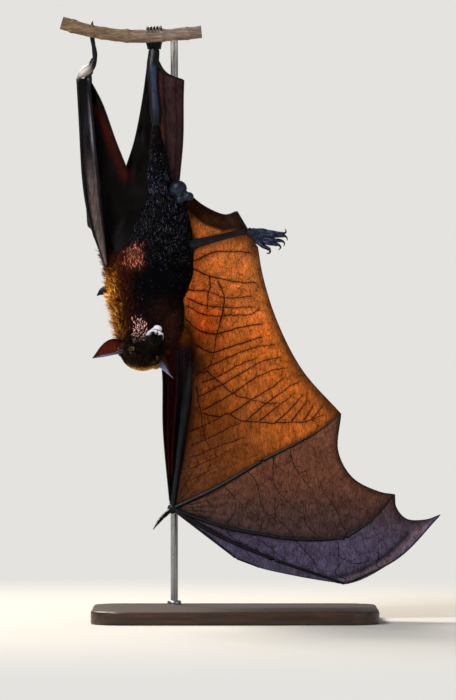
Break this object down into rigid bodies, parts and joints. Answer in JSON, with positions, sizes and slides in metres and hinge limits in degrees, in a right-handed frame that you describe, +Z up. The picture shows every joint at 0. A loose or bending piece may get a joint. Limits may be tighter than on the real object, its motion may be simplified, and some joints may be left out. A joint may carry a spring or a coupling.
{
  "type": "fruit bat model",
  "caption": "Life-size fruit bat hanging head down from a cut branch by a foot and a thumb, a wing spread and the other folded, held by a rod and base.",
  "frame": {"origin": "centre of the stand base's underside", "axes": "+Z up, +X to the right as seen from the front (the side the animal's belly and face are on), +Y to the back"},
  "size_m": [0.4588, 0.244, 0.7265],
  "materials": {
    "black_fur": "dense short fur, black with a grey-blue fleck",
    "mantle_fur": "longer fur, rust to golden",
    "face_fur": "very short fur, dark brown",
    "bare_skin": "bare skin, black with a blue sheen",
    "arm_membrane": "thin bare wing skin, orange-brown with dark red veins",
    "hand_membrane": "thin bare wing skin, purple-brown",
    "folded_membrane": "folded wing skin, near black, glossy",
    "eye": "polished, dark amber",
    "bark": "rough grey-brown bark",
    "base_wood": "dark stained, satin",
    "stand_steel": "plain round bar, satin"
  },
  "bodies": {
    "root": {"calcar_left": "bare_skin", "calcar_right": "bare_skin", "digit2_metacarpal_right": "bare_skin", "digit2_phalanx1_right": "bare_skin", "digit3_metacarpal_right": "bare_skin", "digit3_phalanx1_right": "bare_skin", "digit3_phalanx2_right": "bare_skin", "digit4_metacarpal_right": "bare_skin", "digit4_phalanx1_right": "bare_skin", "digit4_phalanx2_right": "bare_skin", "digit5_metacarpal_right": "bare_skin", "digit5_phalanx1_right": "bare_skin", "digit5_phalanx2_right": "bare_skin", "ear_left": "bare_skin", "ear_right": "bare_skin", "eye_left": "eye", "eye_right": "eye", "foot_left": "bare_skin", "foot_right": "bare_skin", "forearm_left": "bare_skin", "forearm_right": "bare_skin", "genitals": "bare_skin", "hand_left": "folded_membrane", "head": "face_fur", "membrane_2_3_right": "hand_membrane", "membrane_3_4_right": "hand_membrane", "membrane_4_5_right": "hand_membrane", "membrane_arm_left": "folded_membrane", "membrane_arm_right": "arm_membrane", "membrane_front_right": "folded_membrane", "membrane_tail_left": "folded_membrane", "membrane_tail_right": "arm_membrane", "neck": "mantle_fur", "perch": "bark", "shin_left": "bare_skin", "shin_right": "bare_skin", "stand_base": "base_wood", "stand_rod": "stand_steel", "thigh_left": "black_fur", "thigh_right": "black_fur", "thumb_left": "bare_skin", "thumb_right": "bare_skin", "trunk": "black_fur", "upper_arm_left": "mantle_fur", "upper_arm_right": "black_fur"}
  },
  "joints": []
}
